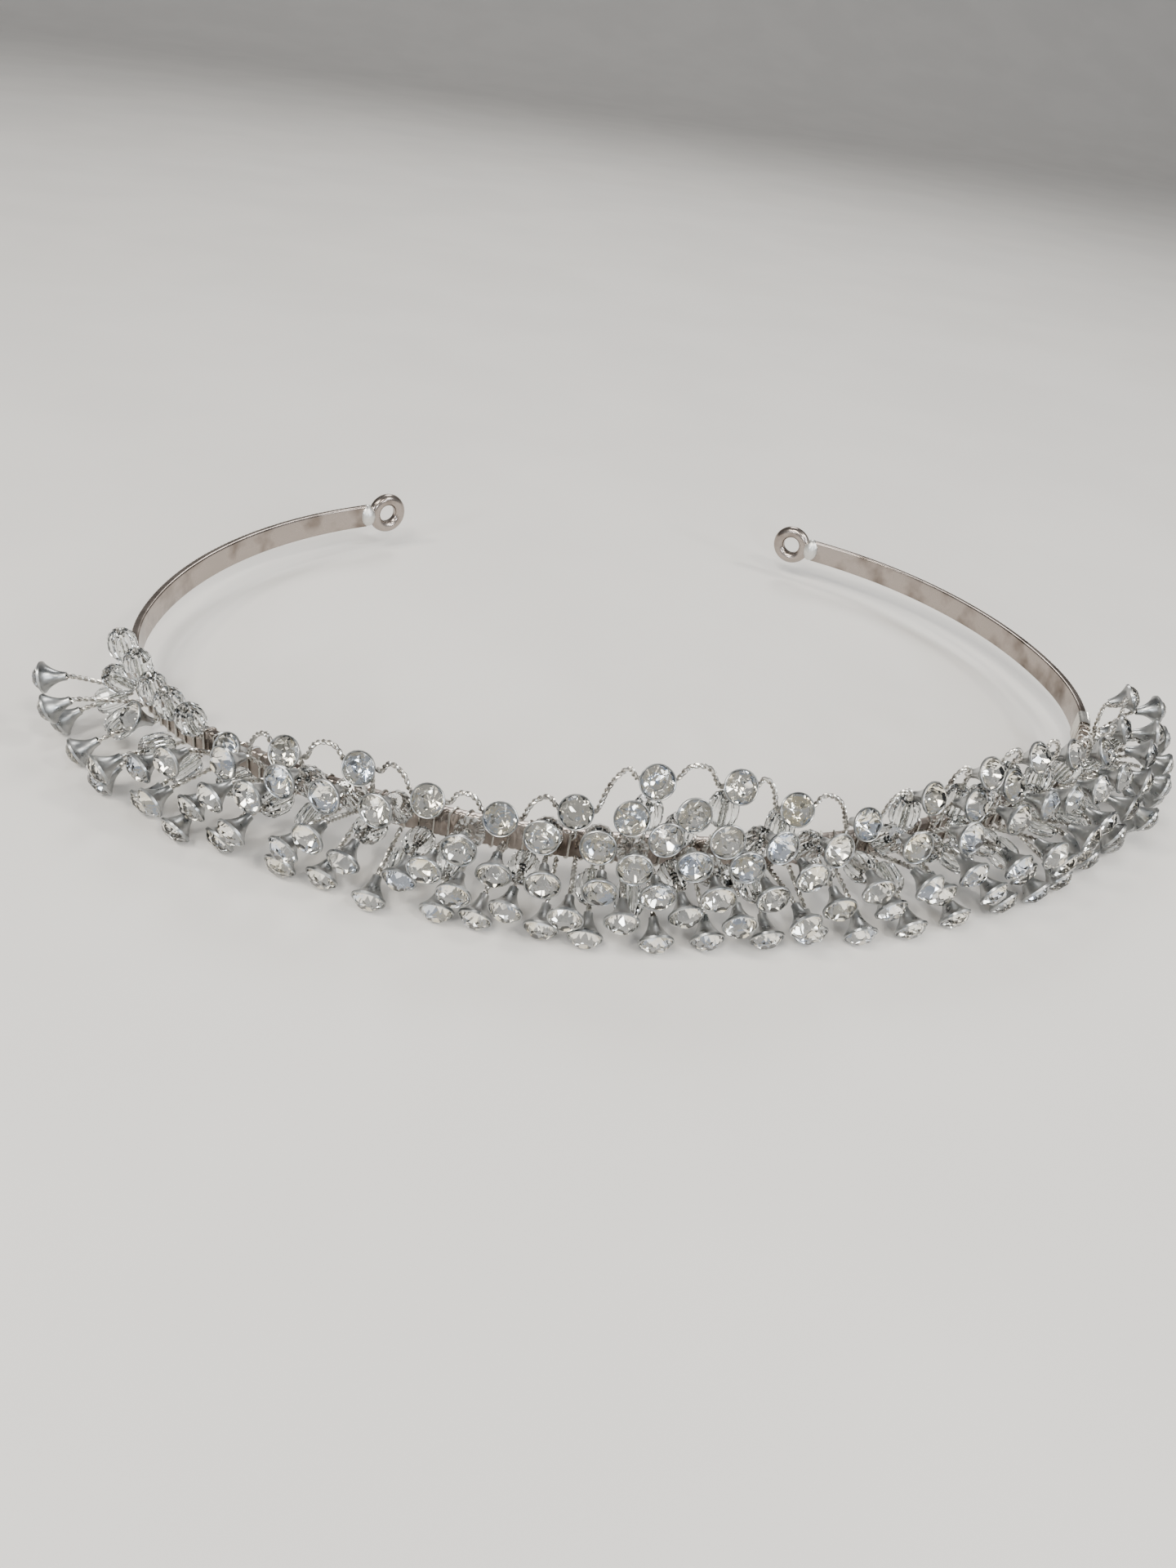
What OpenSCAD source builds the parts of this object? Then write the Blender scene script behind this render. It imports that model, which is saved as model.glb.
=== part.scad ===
// Bridal tiara: a springy headband strip whose front half carries seven tiers of
// wire stems with trumpet cups and foil-backed stones, and glass beads between them.
// +X is the wearer's left-to-right width, -Y the front, +Z up; it stands on its hem.

/* [Headband strip] */
// Height of the flat strip
strip_h = 4.1; // [3.5:0.1:5]
// Thickness of the strip
strip_t = 1.2; // [1:0.1:1.6]
// Radius of the wide front arc
front_r = 100.5; // [90:0.5:110]
// Turn of half the front arc, in degrees
front_turn = 36; // [32:1:40]
// Radius of the tighter temple arc
temple_r = 38.5; // [34:0.5:44]
// Turn of the temple arc, in degrees
temple_turn = 58; // [52:1:62]
// Radius of the arm that runs back behind the ear
arm_r = 62.5; // [54:0.5:72]
// Turn of the arm, in degrees
arm_turn = 55; // [45:1:60]
// Distance from the front centre to the point where the arm flexes
flex_s = 90; // [89:0.5:94]
// Width of the slot that stands for the flex
flex_gap = 0.3; // [0.2:0.05:0.5]

/* [End rings] */
// Outside diameter of the wire ring on each tip
ring_od = 7.5; // [6.5:0.1:8.5]
// Radius of the round ring wire
ring_wire_r = 1.1; // [1:0.05:1.2]
// Radius of the reamed eye
ring_eye_r = 1.65; // [1.5:0.05:1.8]
// Space between the strip's tip and the ring, filled with solder
ring_gap = 0.8; // [0.5:0.1:1.2]
// Radius of the pad of solder
solder_r = 1.7; // [1.2:0.1:2]

/* [Cups and stones] */
// Diameter of a stone
stone_d = 4; // [3.8:0.05:4.1]
// Height of a stone's crown above its girdle
crown_h = 0.95; // [0.7:0.05:1.2]
// Depth of a stone's pointed back
pavilion_h = 1.5; // [1.2:0.05:1.6]
// Length of a trumpet cup from rim to tail
cup_len = 3.3; // [3.1:0.1:4]
// Radius of a cup's tail
tail_r = 0.6; // [0.55:0.05:0.7]
// Wall of a cup
cup_wall = 0.2; // [0.15:0.01:0.22]

/* [Beads and wire] */
// Largest diameter of a fluted bead
bead_d = 4; // [3.6:0.1:4.4]
// Length of a fluted bead
bead_len = 4.3; // [4:0.1:4.8]
// Diameter of the twisted pair that makes a stem
stem_d = 0.7; // [0.6:0.05:0.75]
// Thickness of the binding wire
bind_t = 0.3; // [0.2:0.05:0.35]
// Distance between turns of the binding wire
bind_pitch = 2.2; // [1.2:0.1:4]

/* [Cluster] */
// Half length of the cluster along the strip
cluster_half = 84; // [70:1:85]
// Distance between neighbours in one tier
pitch = 6.1; // [6:0.1:10]
// Distance between neighbours along the garland
garland_pitch = 8.6; // [8:0.1:12]
// Distance from the strip to the stones of the lower tiers
reach = 12.4; // [11.5:0.1:13]
// Height of the garland above the middle of the strip, halfway up its waves
garland_h = 10.2; // [9:0.1:12]
// Height of the garland's waves at the front
wave_h = 4.2; // [0:0.1:5]
// Distance between two crests of the garland
wave_len = 45; // [38:1:60]
// Slope of the hand-bent garland from left to right
garland_skew = 0.05; // [0:0.01:0.08]
// Upward tilt of the garland's stones, in degrees
garland_face = 30; // [15:1:45]
// Downward tilt of the hem's stones, in degrees
hem_face = 28; // [15:1:35]
// Hand-made unevenness, from none to full
unevenness = 0.85; // [0:0.05:1]
// Starting number of the unevenness
seed = 12; // [1:1:99]

/* [Hidden] */
$fn = 48;

GARLAND = 0;
CREST = 1;
UPPER = 2;
MIDDLE = 3;
LOWER = 4;
APRON = 5;
HEM = 6;
FILLER = 7;

// Arc lengths from the front centre to the end of each arc of the half strip
front_len = front_r * front_turn * PI / 180;
temple_len = front_len + temple_r * temple_turn * PI / 180;
half_len = temple_len + arm_r * arm_turn * PI / 180;
ring_r = ring_od / 2 - ring_wire_r;

// Polar angle of each tier about the strip, seen in cross-section
tier_step = 17;
crest_angle = 61;
hem_angle = crest_angle - (HEM - CREST) * tier_step;
hem_z = reach * sin(hem_angle);
garland_off = 5;
rim_r = stone_d / 2 + 0.2;
eye_slack = 0.04;
seat_depth = 0.35;
rim_lip = 0.05;
girdle_h = 0.25;
// The hem's rims touch the ground plane
strip_z = -hem_z + rim_r * cos(hem_face) + rim_lip * sin(hem_face);

// Depth of the whole piece, which centres it on the origin
front_reach = reach + (crown_h + 0.3) * cos(hem_face);
tip = arm_point(half_len + ring_gap + ring_od / 2);
strip_y = -(tip[1] + ring_od / 2 * sin(front_turn + temple_turn + arm_turn) - front_reach) / 2;

// Heading of the strip at arc length s, in degrees from the X axis
function heading(s) =
    s < front_len ? s / front_len * front_turn
    : s < temple_len ? front_turn + (s - front_len) / (temple_len - front_len) * temple_turn
    : s < half_len ? front_turn + temple_turn
        + (s - temple_len) / (half_len - temple_len) * arm_turn
    : front_turn + temple_turn + arm_turn;

// Step from one heading to another along an arc
function arc_step(r, h0, h1) = r * [sin(h1) - sin(h0), cos(h0) - cos(h1)];

// Point of the right half of the strip, measured from the front centre
function arm_point(s) =
    let (h = heading(s), h1 = front_turn, h2 = front_turn + temple_turn)
    s < front_len ? arc_step(front_r, 0, h)
    : s < temple_len ? arc_step(front_r, 0, h1) + arc_step(temple_r, h1, h)
    : arc_step(front_r, 0, h1) + arc_step(temple_r, h1, h2) + arc_step(arm_r, h2, h)
        + max(0, s - half_len) * [cos(h), sin(h)];

// Side of the front centre: 1 to the right, -1 to the left
function side(s) = s < 0 ? -1 : 1;
function outward(s) = [side(s) * sin(heading(abs(s))), -cos(heading(abs(s))), 0];
function along(s) = [cos(heading(abs(s))), side(s) * sin(heading(abs(s))), 0];
function on_strip(s, off, z) =
    let (p = arm_point(abs(s)))
    [side(s) * p[0], p[1] + strip_y, strip_z + z] + off * outward(s);

// Height of the garland above the middle of the strip
garland_sag = 0.00094;
wave_fade = 110;
function garland_z(s) =
    garland_h - garland_sag * s * s + garland_skew * s
    + wave_h * (1 - abs(s) / wave_fade) * cos(360 * s / wave_len);
crest_z = garland_h + wave_h;

// One unit: [s, tier, stone centre, facing, tail, bend, root, bead centre or undef]
bend_len = 0.8;
stem_root_off = strip_t / 2 + bind_t + stem_d / 2 + 0.15;
root_spread = 3.2;
// How many of every three units in a tier carry a bead
bead_share = [3, 3, 3, 3, 2, 2, 1];
temple_yaw = 16;
least_squeeze = 0.75;
// The lower tiers may rise with their distance from the strip
under_garland = 2.2;
overhang = 0.55;
bead_room = bead_len / 2 + 0.3;
bead_tries = 30;
tries = 60;
function direction(s, rise, yaw) =
    cos(rise) * (cos(yaw) * outward(s) + sin(yaw) * along(s)) + sin(rise) * [0, 0, 1];

// Odd tiers have one unit less, which sets them half a step aside
function spacing(tier) = tier == GARLAND ? garland_pitch : pitch;
function units_in(tier) = floor(2 * cluster_half / spacing(tier)) + 1 - tier % 2;

// Each try of a place draws its own unevenness, and the last tries go without a bead
function unit(tier, i, try) =
    let (
        q = unevenness * rands(-1, 1, 6, seed + 97 * (30 * tier + i) + try),
        s = (i - (units_in(tier) - 1) / 2) * spacing(tier) + q[0],
        angle = crest_angle - (tier - CREST) * tier_step + (tier == HEM ? 0 : 4 * q[1]),
        far = reach + 1.2 * q[2],
        low = tier == HEM ? hem_z : far * sin(angle),
        squeeze = max(least_squeeze, min(1, garland_z(s) / crest_z)),
        z = tier == GARLAND ? garland_z(s) + 0.5 * q[1] : low > 0 ? low * squeeze : low,
        off = tier == GARLAND ? garland_off + 0.4 * q[2] : far * cos(angle),
        face = garland_face - (garland_face + hem_face) * tier / HEM
            + (tier == HEM ? 0 : 6 * q[3]),
        yaw = temple_yaw * s / cluster_half + 10 * q[4],
        facing = direction(s, face, yaw),
        centre = on_strip(s, off * cos(0.6 * yaw), z) + off * sin(0.6 * yaw) * along(s),
        tail = centre - cup_len * facing,
        bend = tail - bend_len * facing,
        root = on_strip(s, stem_root_off, root_spread * (0.5 - tier / HEM)),
        run = root - bend,
        slide = bead_room + (norm(run) - 2 * bead_room) * (0.5 + 0.5 * q[5]),
        bead = try < bead_tries && (i + tier) % 3 < bead_share[tier]
            ? bend + run / norm(run) * slide : undef
    )
    [s, tier, centre, facing, tail, bend, root, bead];

// Fillers are beads on straight stems of their own, close to the strip, in four rows
knot = 0.25;
stem_ball = stem_d / 2 + 0.06;
bead_ball = bead_d / 2 + 0.1;
bead_end_r = 0.3 * bead_d;
bead_shoulder = 1.25;
shoulder_ball = norm([bead_end_r, bead_len / 2 - bead_shoulder]) + 0.08;
filler_pitch = 4.7;
filler_angles = [72, 38, 4, -30];
filler_tip = 0.5;
fillers_in_row = floor(2 * cluster_half / filler_pitch);
function filler(i, try) =
    let (
        q = unevenness * rands(-1, 1, 3, seed + 31 * i + try),
        row = floor(i / fillers_in_row),
        s = (i % fillers_in_row + 0.5 * (row % 2) + 0.25) * filler_pitch - cluster_half
            + filler_pitch / 2 * q[0],
        way = direction(s, filler_angles[row] + 16 * q[1], 0),
        root = on_strip(s, stem_root_off, 1.5 * way[2]),
        bead = root + (bead_ball + 2 + 1.6 * q[2]) * way,
        top = bead + (bead_len / 2 + filler_tip) * way
    )
    [s, FILLER, top, way, top, top, root, bead];

// Sides of a garland unit that carry the arches of wire
arch_side = 2.9;
arch_back = 1.2;
arch_ball = 0.45;
foot_side = tail_r + 0.5;
foot_back = 0.2;
function arch_foot(u, way) = u[4] - foot_back * u[3] + way * foot_side * along(u[0]);
function arch_top(u, way) = u[2] - arch_back * u[3] + way * arch_side * along(u[0]);

// Balls that cover a unit's cup, bend, bead and arches, as [centre, radius]
function balls(u) = concat(
    u[1] == FILLER ? [] : [[u[2] - 0.45 * u[3], rim_r + 0.05], [u[2] - 1.6 * u[3], 1.2],
        [u[4], 0.7]],
    [[u[5], stem_ball + knot / 2]],
    is_undef(u[7]) ? [] : [for (way = [-1, 0, 1])
        [u[7] + way * bead_shoulder * (u[5] - u[6]) / norm(u[5] - u[6]),
            way == 0 ? bead_ball : shoulder_ball]],
    u[1] != GARLAND ? [] : [for (way = [-1, 1]) each concat(
        [for (f = [0:0.25:1]) [f * arch_foot(u, way) + (1 - f) * arch_top(u, way), arch_ball]],
        [for (f = [0.5, 1])
            [arch_top(u, way) + f * (way * along(u[0]) + [0, 0, 2]), 2 * arch_ball]])]);
function along_stem(u) = [for (f = [0.08:0.08:0.96]) u[6] + f * (u[5] - u[6])];

// A bead has room where it lies on its stem and clear of the strip's edge
function strip_distance(p, s) =
    let (d = p - on_strip(s, 0, 0), off = abs(d * outward(s)), z = abs(d[2]))
    norm([max(0, off - strip_t / 2 - bind_t), max(0, z - strip_h / 2 - bind_t)]);
function bead_fits(u) =
    is_undef(u[7]) || (norm(u[6] - u[5]) > 2 * bead_room
        && strip_distance(u[7], u[0]) > bead_room - 0.1);

function stem_gap(p, u) =
    let (run = u[5] - u[6], t = max(0, min(1, (p - u[6]) * run / (run * run))))
    norm(p - u[6] - t * run);
function balls_meet(list, others) =
    len([for (a = list, b = others) if (norm(a[0] - b[0]) < a[1] + b[1]) 1]) > 0;
function stem_meets(u, list) =
    len([for (b = list) if (stem_gap(b[0], u) < stem_ball + b[1]) 1]) > 0;
function stems_meet(u, points) =
    len([for (p = points) if (stem_gap(p, u) < 2 * stem_ball) 1]) > 0;
near_s = 8.5;
function crowded(u, mine, points, kept, i) =
    i < 0 ? false
    : abs(kept[i][0][0] - u[0]) < near_s && (balls_meet(mine, kept[i][1])
        || stem_meets(u, kept[i][1]) || stem_meets(kept[i][0], mine)
        || stems_meet(kept[i][0], points)) ? true
    : crowded(u, mine, points, kept, i - 1);
function under(u) =
    u[1] == GARLAND || u[1] == FILLER || u[2][2] - strip_z < garland_z(u[0]) - under_garland
        + overhang * ((u[2] - on_strip(u[0], garland_off, 0)) * outward(u[0]));
function first_free(tier, i, kept, try = 0) =
    try == tries ? []
    : let (u = tier == FILLER ? filler(i, try) : unit(tier, i, try), mine = balls(u))
    under(u) && bead_fits(u) && !crowded(u, mine, along_stem(u), kept, len(kept) - 1)
        ? [[u, mine]]
    : first_free(tier, i, kept, try + 1);

// Fills the places one after another, so that nothing touches what is there already
settle_order = [HEM, GARLAND, CREST, APRON, UPPER, LOWER, MIDDLE];
places = concat([for (t = settle_order, i = [0:units_in(t) - 1]) [t, i]],
    [for (i = [0:len(filler_angles) * fillers_in_row - 1]) [FILLER, i]]);
function settle(i = 0, kept = []) =
    i == len(places) ? kept
    : settle(i + 1, concat(kept, first_free(places[i][0], places[i][1], kept)));
units = [for (k = settle()) k[0]];

module aim(point, dir)
    translate(point) rotate([0, acos(dir[2] / norm(dir)), atan2(dir[1], dir[0])]) children();

// Bent wire: straight runs that start and end inside a ball at every bend
inset = 0.2;
module bent_wire(points, d) {
    last = len(points) - 1;
    for (i = [0:last - 1]) {
        run = points[i + 1] - points[i];
        l = norm(run);
        start = i == 0 ? 0 : inset;
        end = i == last - 1 ? 0 : inset;
        aim(points[i] + start / l * run, run)
            cylinder(d = d, h = l - start - end, $fn = 24);
    }
    for (i = [1:1:last - 1]) bend_ball(points[i - 1], points[i], points[i + 1], d + knot);
}

// Ball at a bend, with its poles square to the bend and its seam on the outside
module bend_ball(before, here, after, d) {
    a = (here - before) / norm(here - before);
    b = (after - here) / norm(after - here);
    x = (a - b) / norm(a - b);
    z = cross(a, b) / norm(cross(a, b));
    y = cross(z, x);
    multmatrix([[x[0], y[0], z[0], here[0]], [x[1], y[1], z[1], here[1]],
        [x[2], y[2], z[2], here[2]], [0, 0, 0, 1]]) sphere(d = d, $fn = 24);
}

// Outline of the strip seen from above, between two signed arc lengths
strip_step = 2;
function strip_edge(s0, s1, off) =
    let (n = ceil((s1 - s0) / strip_step))
    [for (i = [0:n]) let (p = on_strip(s0 + (s1 - s0) * i / n, off, 0)) [p[0], p[1]]];
function reversed(list) = [for (i = [len(list) - 1:-1:0]) list[i]];
module strip(s0, s1) color("silver")
    translate([0, 0, strip_z - strip_h / 2]) linear_extrude(strip_h)
        polygon(concat(strip_edge(s0, s1, strip_t / 2),
            reversed(strip_edge(s0, s1, -strip_t / 2))));

module front_band() strip(-(flex_s - flex_gap / 2), flex_s - flex_gap / 2);

module arm() strip(flex_s + flex_gap / 2, half_len);

// Frame at the centre of an end ring: X along the strip, Z out of the ring's face
module at_ring() {
    p = arm_point(half_len + ring_gap + ring_od / 2);
    translate([p[0], p[1] + strip_y, strip_z]) rotate([0, 0, heading(half_len)])
        rotate([90, 0, 0]) children();
}

module end_ring() color("silver") at_ring() rotate_extrude($fn = 96) intersection() {
    translate([ring_r, 0]) circle(r = ring_wire_r);
    translate([ring_eye_r, -2 * ring_wire_r]) square(4 * ring_wire_r);
}

module solder() color("gainsboro")
    at_ring() translate([-ring_od / 2 - ring_gap, 0, 0]) rotate([0, 90, 0])
        cylinder(r = solder_r, h = ring_gap - 0.02);

// One turn of binding wire round the strip
module bind_turn(s) {
    inner = [strip_t + 0.1, strip_h + 0.1];
    outer = inner + 2 * [bind_t, bind_t];
    p = on_strip(s, 0, 0);
    translate(p) rotate([0, 0, atan2(along(s)[1], along(s)[0])]) rotate([90, 0, 90])
        linear_extrude(bind_t, center = true) difference() {
            square(outer, center = true);
            square(inner, center = true);
        }
}

module binding_wire() color("lightgray") {
    turns = floor((cluster_half + 3) / bind_pitch);
    for (i = [-turns:turns]) bind_turn(i * bind_pitch);
}

module stem(u)
    bent_wire(u[1] == FILLER ? [u[6], u[5]] : [u[6], u[5], u[4] + 0.8 * u[3]], stem_d);

module stems(tier) color("silver") for (u = units) if (u[1] == tier) stem(u);

// Outer radius of the trumpet at height z below the rim
flare_len = cup_len - seat_depth;
function flare(z) = tail_r + (rim_r - 0.1 - tail_r) * pow((z + cup_len) / flare_len, 2);
bore_r = stem_d / 2 + 0.06;
flare_cuts = [for (i = [1:5]) -seat_depth - i * flare_len / 6];
cup_profile = concat(
    [[rim_r, rim_lip], [rim_r, -seat_depth], [rim_r - 0.1, -seat_depth]],
    [for (z = flare_cuts) [flare(z), z]],
    [[tail_r, -cup_len], [bore_r, -cup_len]],
    [for (i = [4:-1:0]) let (z = flare_cuts[i]) [max(bore_r, flare(z) - cup_wall), z]],
    [[rim_r - 0.1 - cup_wall, -seat_depth], [rim_r - 0.2 + eye_slack, -seat_depth],
        [rim_r - 0.2 + eye_slack, rim_lip]]);

module cup(u) aim(u[2], u[3]) rotate_extrude() polygon(cup_profile);

module cups(tier) color("slategray") for (u = units) if (u[1] == tier) cup(u);

table_r = 0.56 * stone_d / 2;
stone_profile = [[0, crown_h], [table_r, crown_h], [stone_d / 2, 0], [stone_d / 2, -girdle_h],
    [0.1, -girdle_h - pavilion_h], [0, -girdle_h - pavilion_h]];

module stone(u) aim(u[2], u[3]) rotate_extrude() polygon(stone_profile);

module stones(tier) color("aliceblue") for (u = units) if (u[1] == tier) stone(u);

bead_bore = stem_d / 2 + 0.1;
bead_profile = [[bead_bore, -bead_len / 2], [bead_end_r, -bead_len / 2],
    [bead_d / 2, -bead_len / 6], [bead_d / 2, bead_len / 6],
    [bead_end_r, bead_len / 2], [bead_bore, bead_len / 2]];

module bead(u) aim(u[7], u[5] - u[6]) rotate_extrude() polygon(bead_profile);

module beads(tier) color("lightcyan")
    for (u = units) if (u[1] == tier && !is_undef(u[7])) bead(u);

// Arch of wire from one garland cup to the next, with a foot behind each cup
arch_d = 0.6;
least_chord = 1.2;
arch_rise = 0.4;
function arch_points(a, b) =
    let (
        start = arch_top(a, 1),
        chord = arch_top(b, -1) - start,
        lift = [0, 0, 0.8 + arch_rise * norm(chord)]
    )
    [arch_foot(a, 1), start, start + 0.25 * chord + lift, start + 0.75 * chord + lift,
        start + chord, arch_foot(b, -1)];

garland = [for (u = units) if (u[1] == GARLAND) u];
arches = [for (i = [0:len(garland) - 2]) arch_points(garland[i], garland[i + 1])];
module garland_wire() color("silver")
    for (p = arches)
        if (norm(p[4] - p[1]) > least_chord && norm(p[4] - p[1]) < garland_pitch)
            bent_wire(p, arch_d);

front_band();
mirror([1, 0, 0]) arm();  // left_arm
arm();  // right_arm
mirror([1, 0, 0]) end_ring();  // left_end_ring
end_ring();  // right_end_ring
mirror([1, 0, 0]) solder();  // left_solder
solder();  // right_solder
binding_wire();
garland_wire();
stems(GARLAND);  // garland_stems
stems(CREST);  // crest_stems
stems(UPPER);  // upper_stems
stems(MIDDLE);  // middle_stems
stems(LOWER);  // lower_stems
stems(APRON);  // apron_stems
stems(HEM);  // hem_stems
cups(GARLAND);  // garland_cups
cups(CREST);  // crest_cups
cups(UPPER);  // upper_cups
cups(MIDDLE);  // middle_cups
cups(LOWER);  // lower_cups
cups(APRON);  // apron_cups
cups(HEM);  // hem_cups
stones(GARLAND);  // garland_stones
stones(CREST);  // crest_stones
stones(UPPER);  // upper_stones
stones(MIDDLE);  // middle_stones
stones(LOWER);  // lower_stones
stones(APRON);  // apron_stones
stones(HEM);  // hem_stones
beads(GARLAND);  // garland_beads
beads(CREST);  // crest_beads
beads(UPPER);  // upper_beads
beads(MIDDLE);  // middle_beads
beads(LOWER);  // lower_beads
beads(APRON);  // apron_beads
beads(HEM);  // hem_beads
stems(FILLER);  // filler_stems
beads(FILLER);  // filler_beads
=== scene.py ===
"""Bridal tiara: the looks of every piece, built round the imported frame."""

import math

import bmesh
import bpy
import numpy as np
from bpy.props import FloatProperty, FloatVectorProperty, IntProperty, PointerProperty
from mathutils import Matrix, Vector


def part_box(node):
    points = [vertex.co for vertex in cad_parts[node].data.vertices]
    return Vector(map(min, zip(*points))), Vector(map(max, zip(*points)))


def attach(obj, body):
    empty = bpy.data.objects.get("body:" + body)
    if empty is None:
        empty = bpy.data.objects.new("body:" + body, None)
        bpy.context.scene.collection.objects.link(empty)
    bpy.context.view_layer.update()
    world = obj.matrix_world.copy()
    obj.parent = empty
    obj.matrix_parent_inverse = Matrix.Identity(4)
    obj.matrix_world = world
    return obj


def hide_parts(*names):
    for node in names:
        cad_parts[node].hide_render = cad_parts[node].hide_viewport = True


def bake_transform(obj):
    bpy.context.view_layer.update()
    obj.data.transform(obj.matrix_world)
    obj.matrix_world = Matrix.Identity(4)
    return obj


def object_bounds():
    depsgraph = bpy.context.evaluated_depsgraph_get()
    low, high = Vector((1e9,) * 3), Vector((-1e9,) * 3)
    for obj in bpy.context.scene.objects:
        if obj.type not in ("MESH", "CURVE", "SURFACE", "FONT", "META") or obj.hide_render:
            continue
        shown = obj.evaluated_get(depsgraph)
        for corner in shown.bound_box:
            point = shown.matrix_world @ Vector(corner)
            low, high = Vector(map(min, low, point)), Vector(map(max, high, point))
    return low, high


bl_info = {
    "name": "Bridal tiara",
    "version": (1, 0, 0),
    "blender": (4, 5, 0),
    "location": "View3D > Sidebar > Tiara",
    "description": "Builds a wirework tiara with cut stones and glass beads round its packed frame",
    "category": "Object",
}

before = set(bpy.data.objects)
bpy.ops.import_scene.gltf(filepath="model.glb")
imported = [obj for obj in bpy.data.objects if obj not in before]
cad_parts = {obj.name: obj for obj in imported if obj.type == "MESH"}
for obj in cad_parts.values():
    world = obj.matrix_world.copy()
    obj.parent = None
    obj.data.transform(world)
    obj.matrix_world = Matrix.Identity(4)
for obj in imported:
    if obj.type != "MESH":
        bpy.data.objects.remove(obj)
cad_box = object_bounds()

MM = 0.001
TIERS = ("garland", "crest", "upper", "middle", "lower", "apron", "hem")
FILLER = "filler"
FRONT = "front"
UP = np.array([0.0, 0.0, 1.0])


# ---------------------------------------------------------------- sizes and colours

def hex_colour(text):
    """sRGB hex to linear red, green and blue."""
    channels = [int(text[i:i + 2], 16) / 255 for i in (1, 3, 5)]
    return [c / 12.92 if c <= 0.04045 else ((c + 0.055) / 1.055) ** 2.4 for c in channels]


def length(name, description, default_mm):
    """A length that a user may change, given in millimetres."""
    return FloatProperty(name=name, description=description, default=default_mm * MM,
                         unit="LENGTH", precision=5, min=0.0)


def colour(name, description, text):
    """A colour that a user may change, given as sRGB hex."""
    return FloatVectorProperty(name=name, description=description, default=hex_colour(text),
                               subtype="COLOR", size=3, min=0.0, max=1.0)


class HeadbandSizes(bpy.types.PropertyGroup):
    front_radius: length("Front radius", "Radius of the wide front arc", 100.5)
    front_turn: FloatProperty(name="Front turn", description="Turn of half the front arc",
                              default=math.radians(36), subtype="ANGLE")
    temple_radius: length("Temple radius", "Radius of the tighter arc at the temple", 38.5)
    temple_turn: FloatProperty(name="Temple turn", description="Turn of the temple arc",
                               default=math.radians(58), subtype="ANGLE")
    arm_radius: length("Arm radius", "Radius of the arm behind the ear", 62.5)
    arm_turn: FloatProperty(name="Arm turn", description="Turn of the arm",
                            default=math.radians(55), subtype="ANGLE")
    thickness: length("Thickness", "Thickness of the strip", 1.2)
    corner: length("Corner", "Rounding of the strip's corners", 0.32)
    notch_pitch: length("Notch pitch", "Spacing of the notches milled along the edges", 0.9)
    notch_depth: length("Notch depth", "Depth of the milled notches", 0.09)
    flex_start: length("Flex start", "Distance from the front where the arm starts to flex", 88)
    flex_end: length("Flex end", "Distance from the front where the flex ends", 104)


class StoneSizes(bpy.types.PropertyGroup):
    diameter: length("Diameter", "Diameter of a stone at its girdle", 4.0)
    crown: length("Crown", "Height of the crown above the girdle", 0.95)
    girdle: length("Girdle", "Height of the girdle band", 0.18)
    back: length("Back", "Depth of the foiled back", 1.5)
    table: FloatProperty(name="Table", description="Table's share of the diameter",
                         default=0.52, min=0.3, max=0.7)
    cup_length: length("Cup length", "Length of a trumpet cup from rim to tail", 3.3)
    cup_tail: length("Cup tail", "Radius of a cup's tail", 0.6)
    cup_rim: length("Cup rim", "Outer radius of a cup's rim", 2.2)
    cup_wall: length("Cup wall", "Thickness of the cup's sheet", 0.16)


class BeadSizes(bpy.types.PropertyGroup):
    diameter: length("Diameter", "Largest diameter of a fluted bead", 4.0)
    bead_length: length("Length", "Length of a fluted bead", 4.3)
    bore: length("Bore", "Radius of the bead's threading hole", 0.5)
    flutes: IntProperty(name="Flutes", description="Flutes round a bead", default=12, min=6)


class WireSizes(bpy.types.PropertyGroup):
    strand: length("Strand", "Radius of one strand of stem wire", 0.19)
    lay: length("Lay", "Length of one turn of a twisted pair", 1.7)
    binding: length("Binding", "Radius of the binding wire", 0.15)
    binding_pitch: length("Binding pitch", "Spacing of the open turns of binding wire", 1.9)
    arch_rise: FloatProperty(name="Arch rise", description="Rise of an arch by its width",
                             default=0.35, min=0.2, max=0.6)


class Finishes(bpy.types.PropertyGroup):
    silver: colour("Silver", "Plated strip and rings", "#A59B94")
    tarnish: colour("Tarnish", "Thin tarnish in the plate's hollows", "#62574F")
    wire: colour("Wire", "Silvered copper wire", "#CFCCC6")
    cup: colour("Cup", "Pressed cup's grey plate", "#B4B5B5")
    cup_shade: colour("Cup shade", "Darker patches of the cup's plate", "#85888A")
    solder: colour("Solder", "Soft solder", "#D6D5D1")
    foil: colour("Foil", "Silver foil behind a stone", "#FBF8F0")
    foil_cool: colour("Cool foil", "Blue cast in some of the foils", "#E9F0FB")
    foil_warm: colour("Warm foil", "Yellow cast in some of the foils", "#FBF5E4")
    crystal: colour("Crystal", "Cut crystal", "#FFFFFF")
    glass: colour("Glass", "Pressed bead glass", "#F3F5F4")
    floor: colour("Floor", "Plain pale floor", "#D8D5D1")


# ---------------------------------------------------------------- materials

def add(tree, kind, settings=None, links=None):
    """Adds a node, sets its inputs by name, and links outputs of other nodes into them."""
    node = tree.nodes.new(kind)
    for name, value in (settings or {}).items():
        node.inputs[name].default_value = value
    for name, output in (links or {}).items():
        tree.links.new(output, node.inputs[name])
    return node


def new_material(name):
    """An empty material with its Principled shader."""
    material = bpy.data.materials.new(name)
    material.use_nodes = True
    tree = material.node_tree
    return material, tree, tree.nodes["Principled BSDF"]


def rgba(values):
    return (*values, 1.0)


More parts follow.
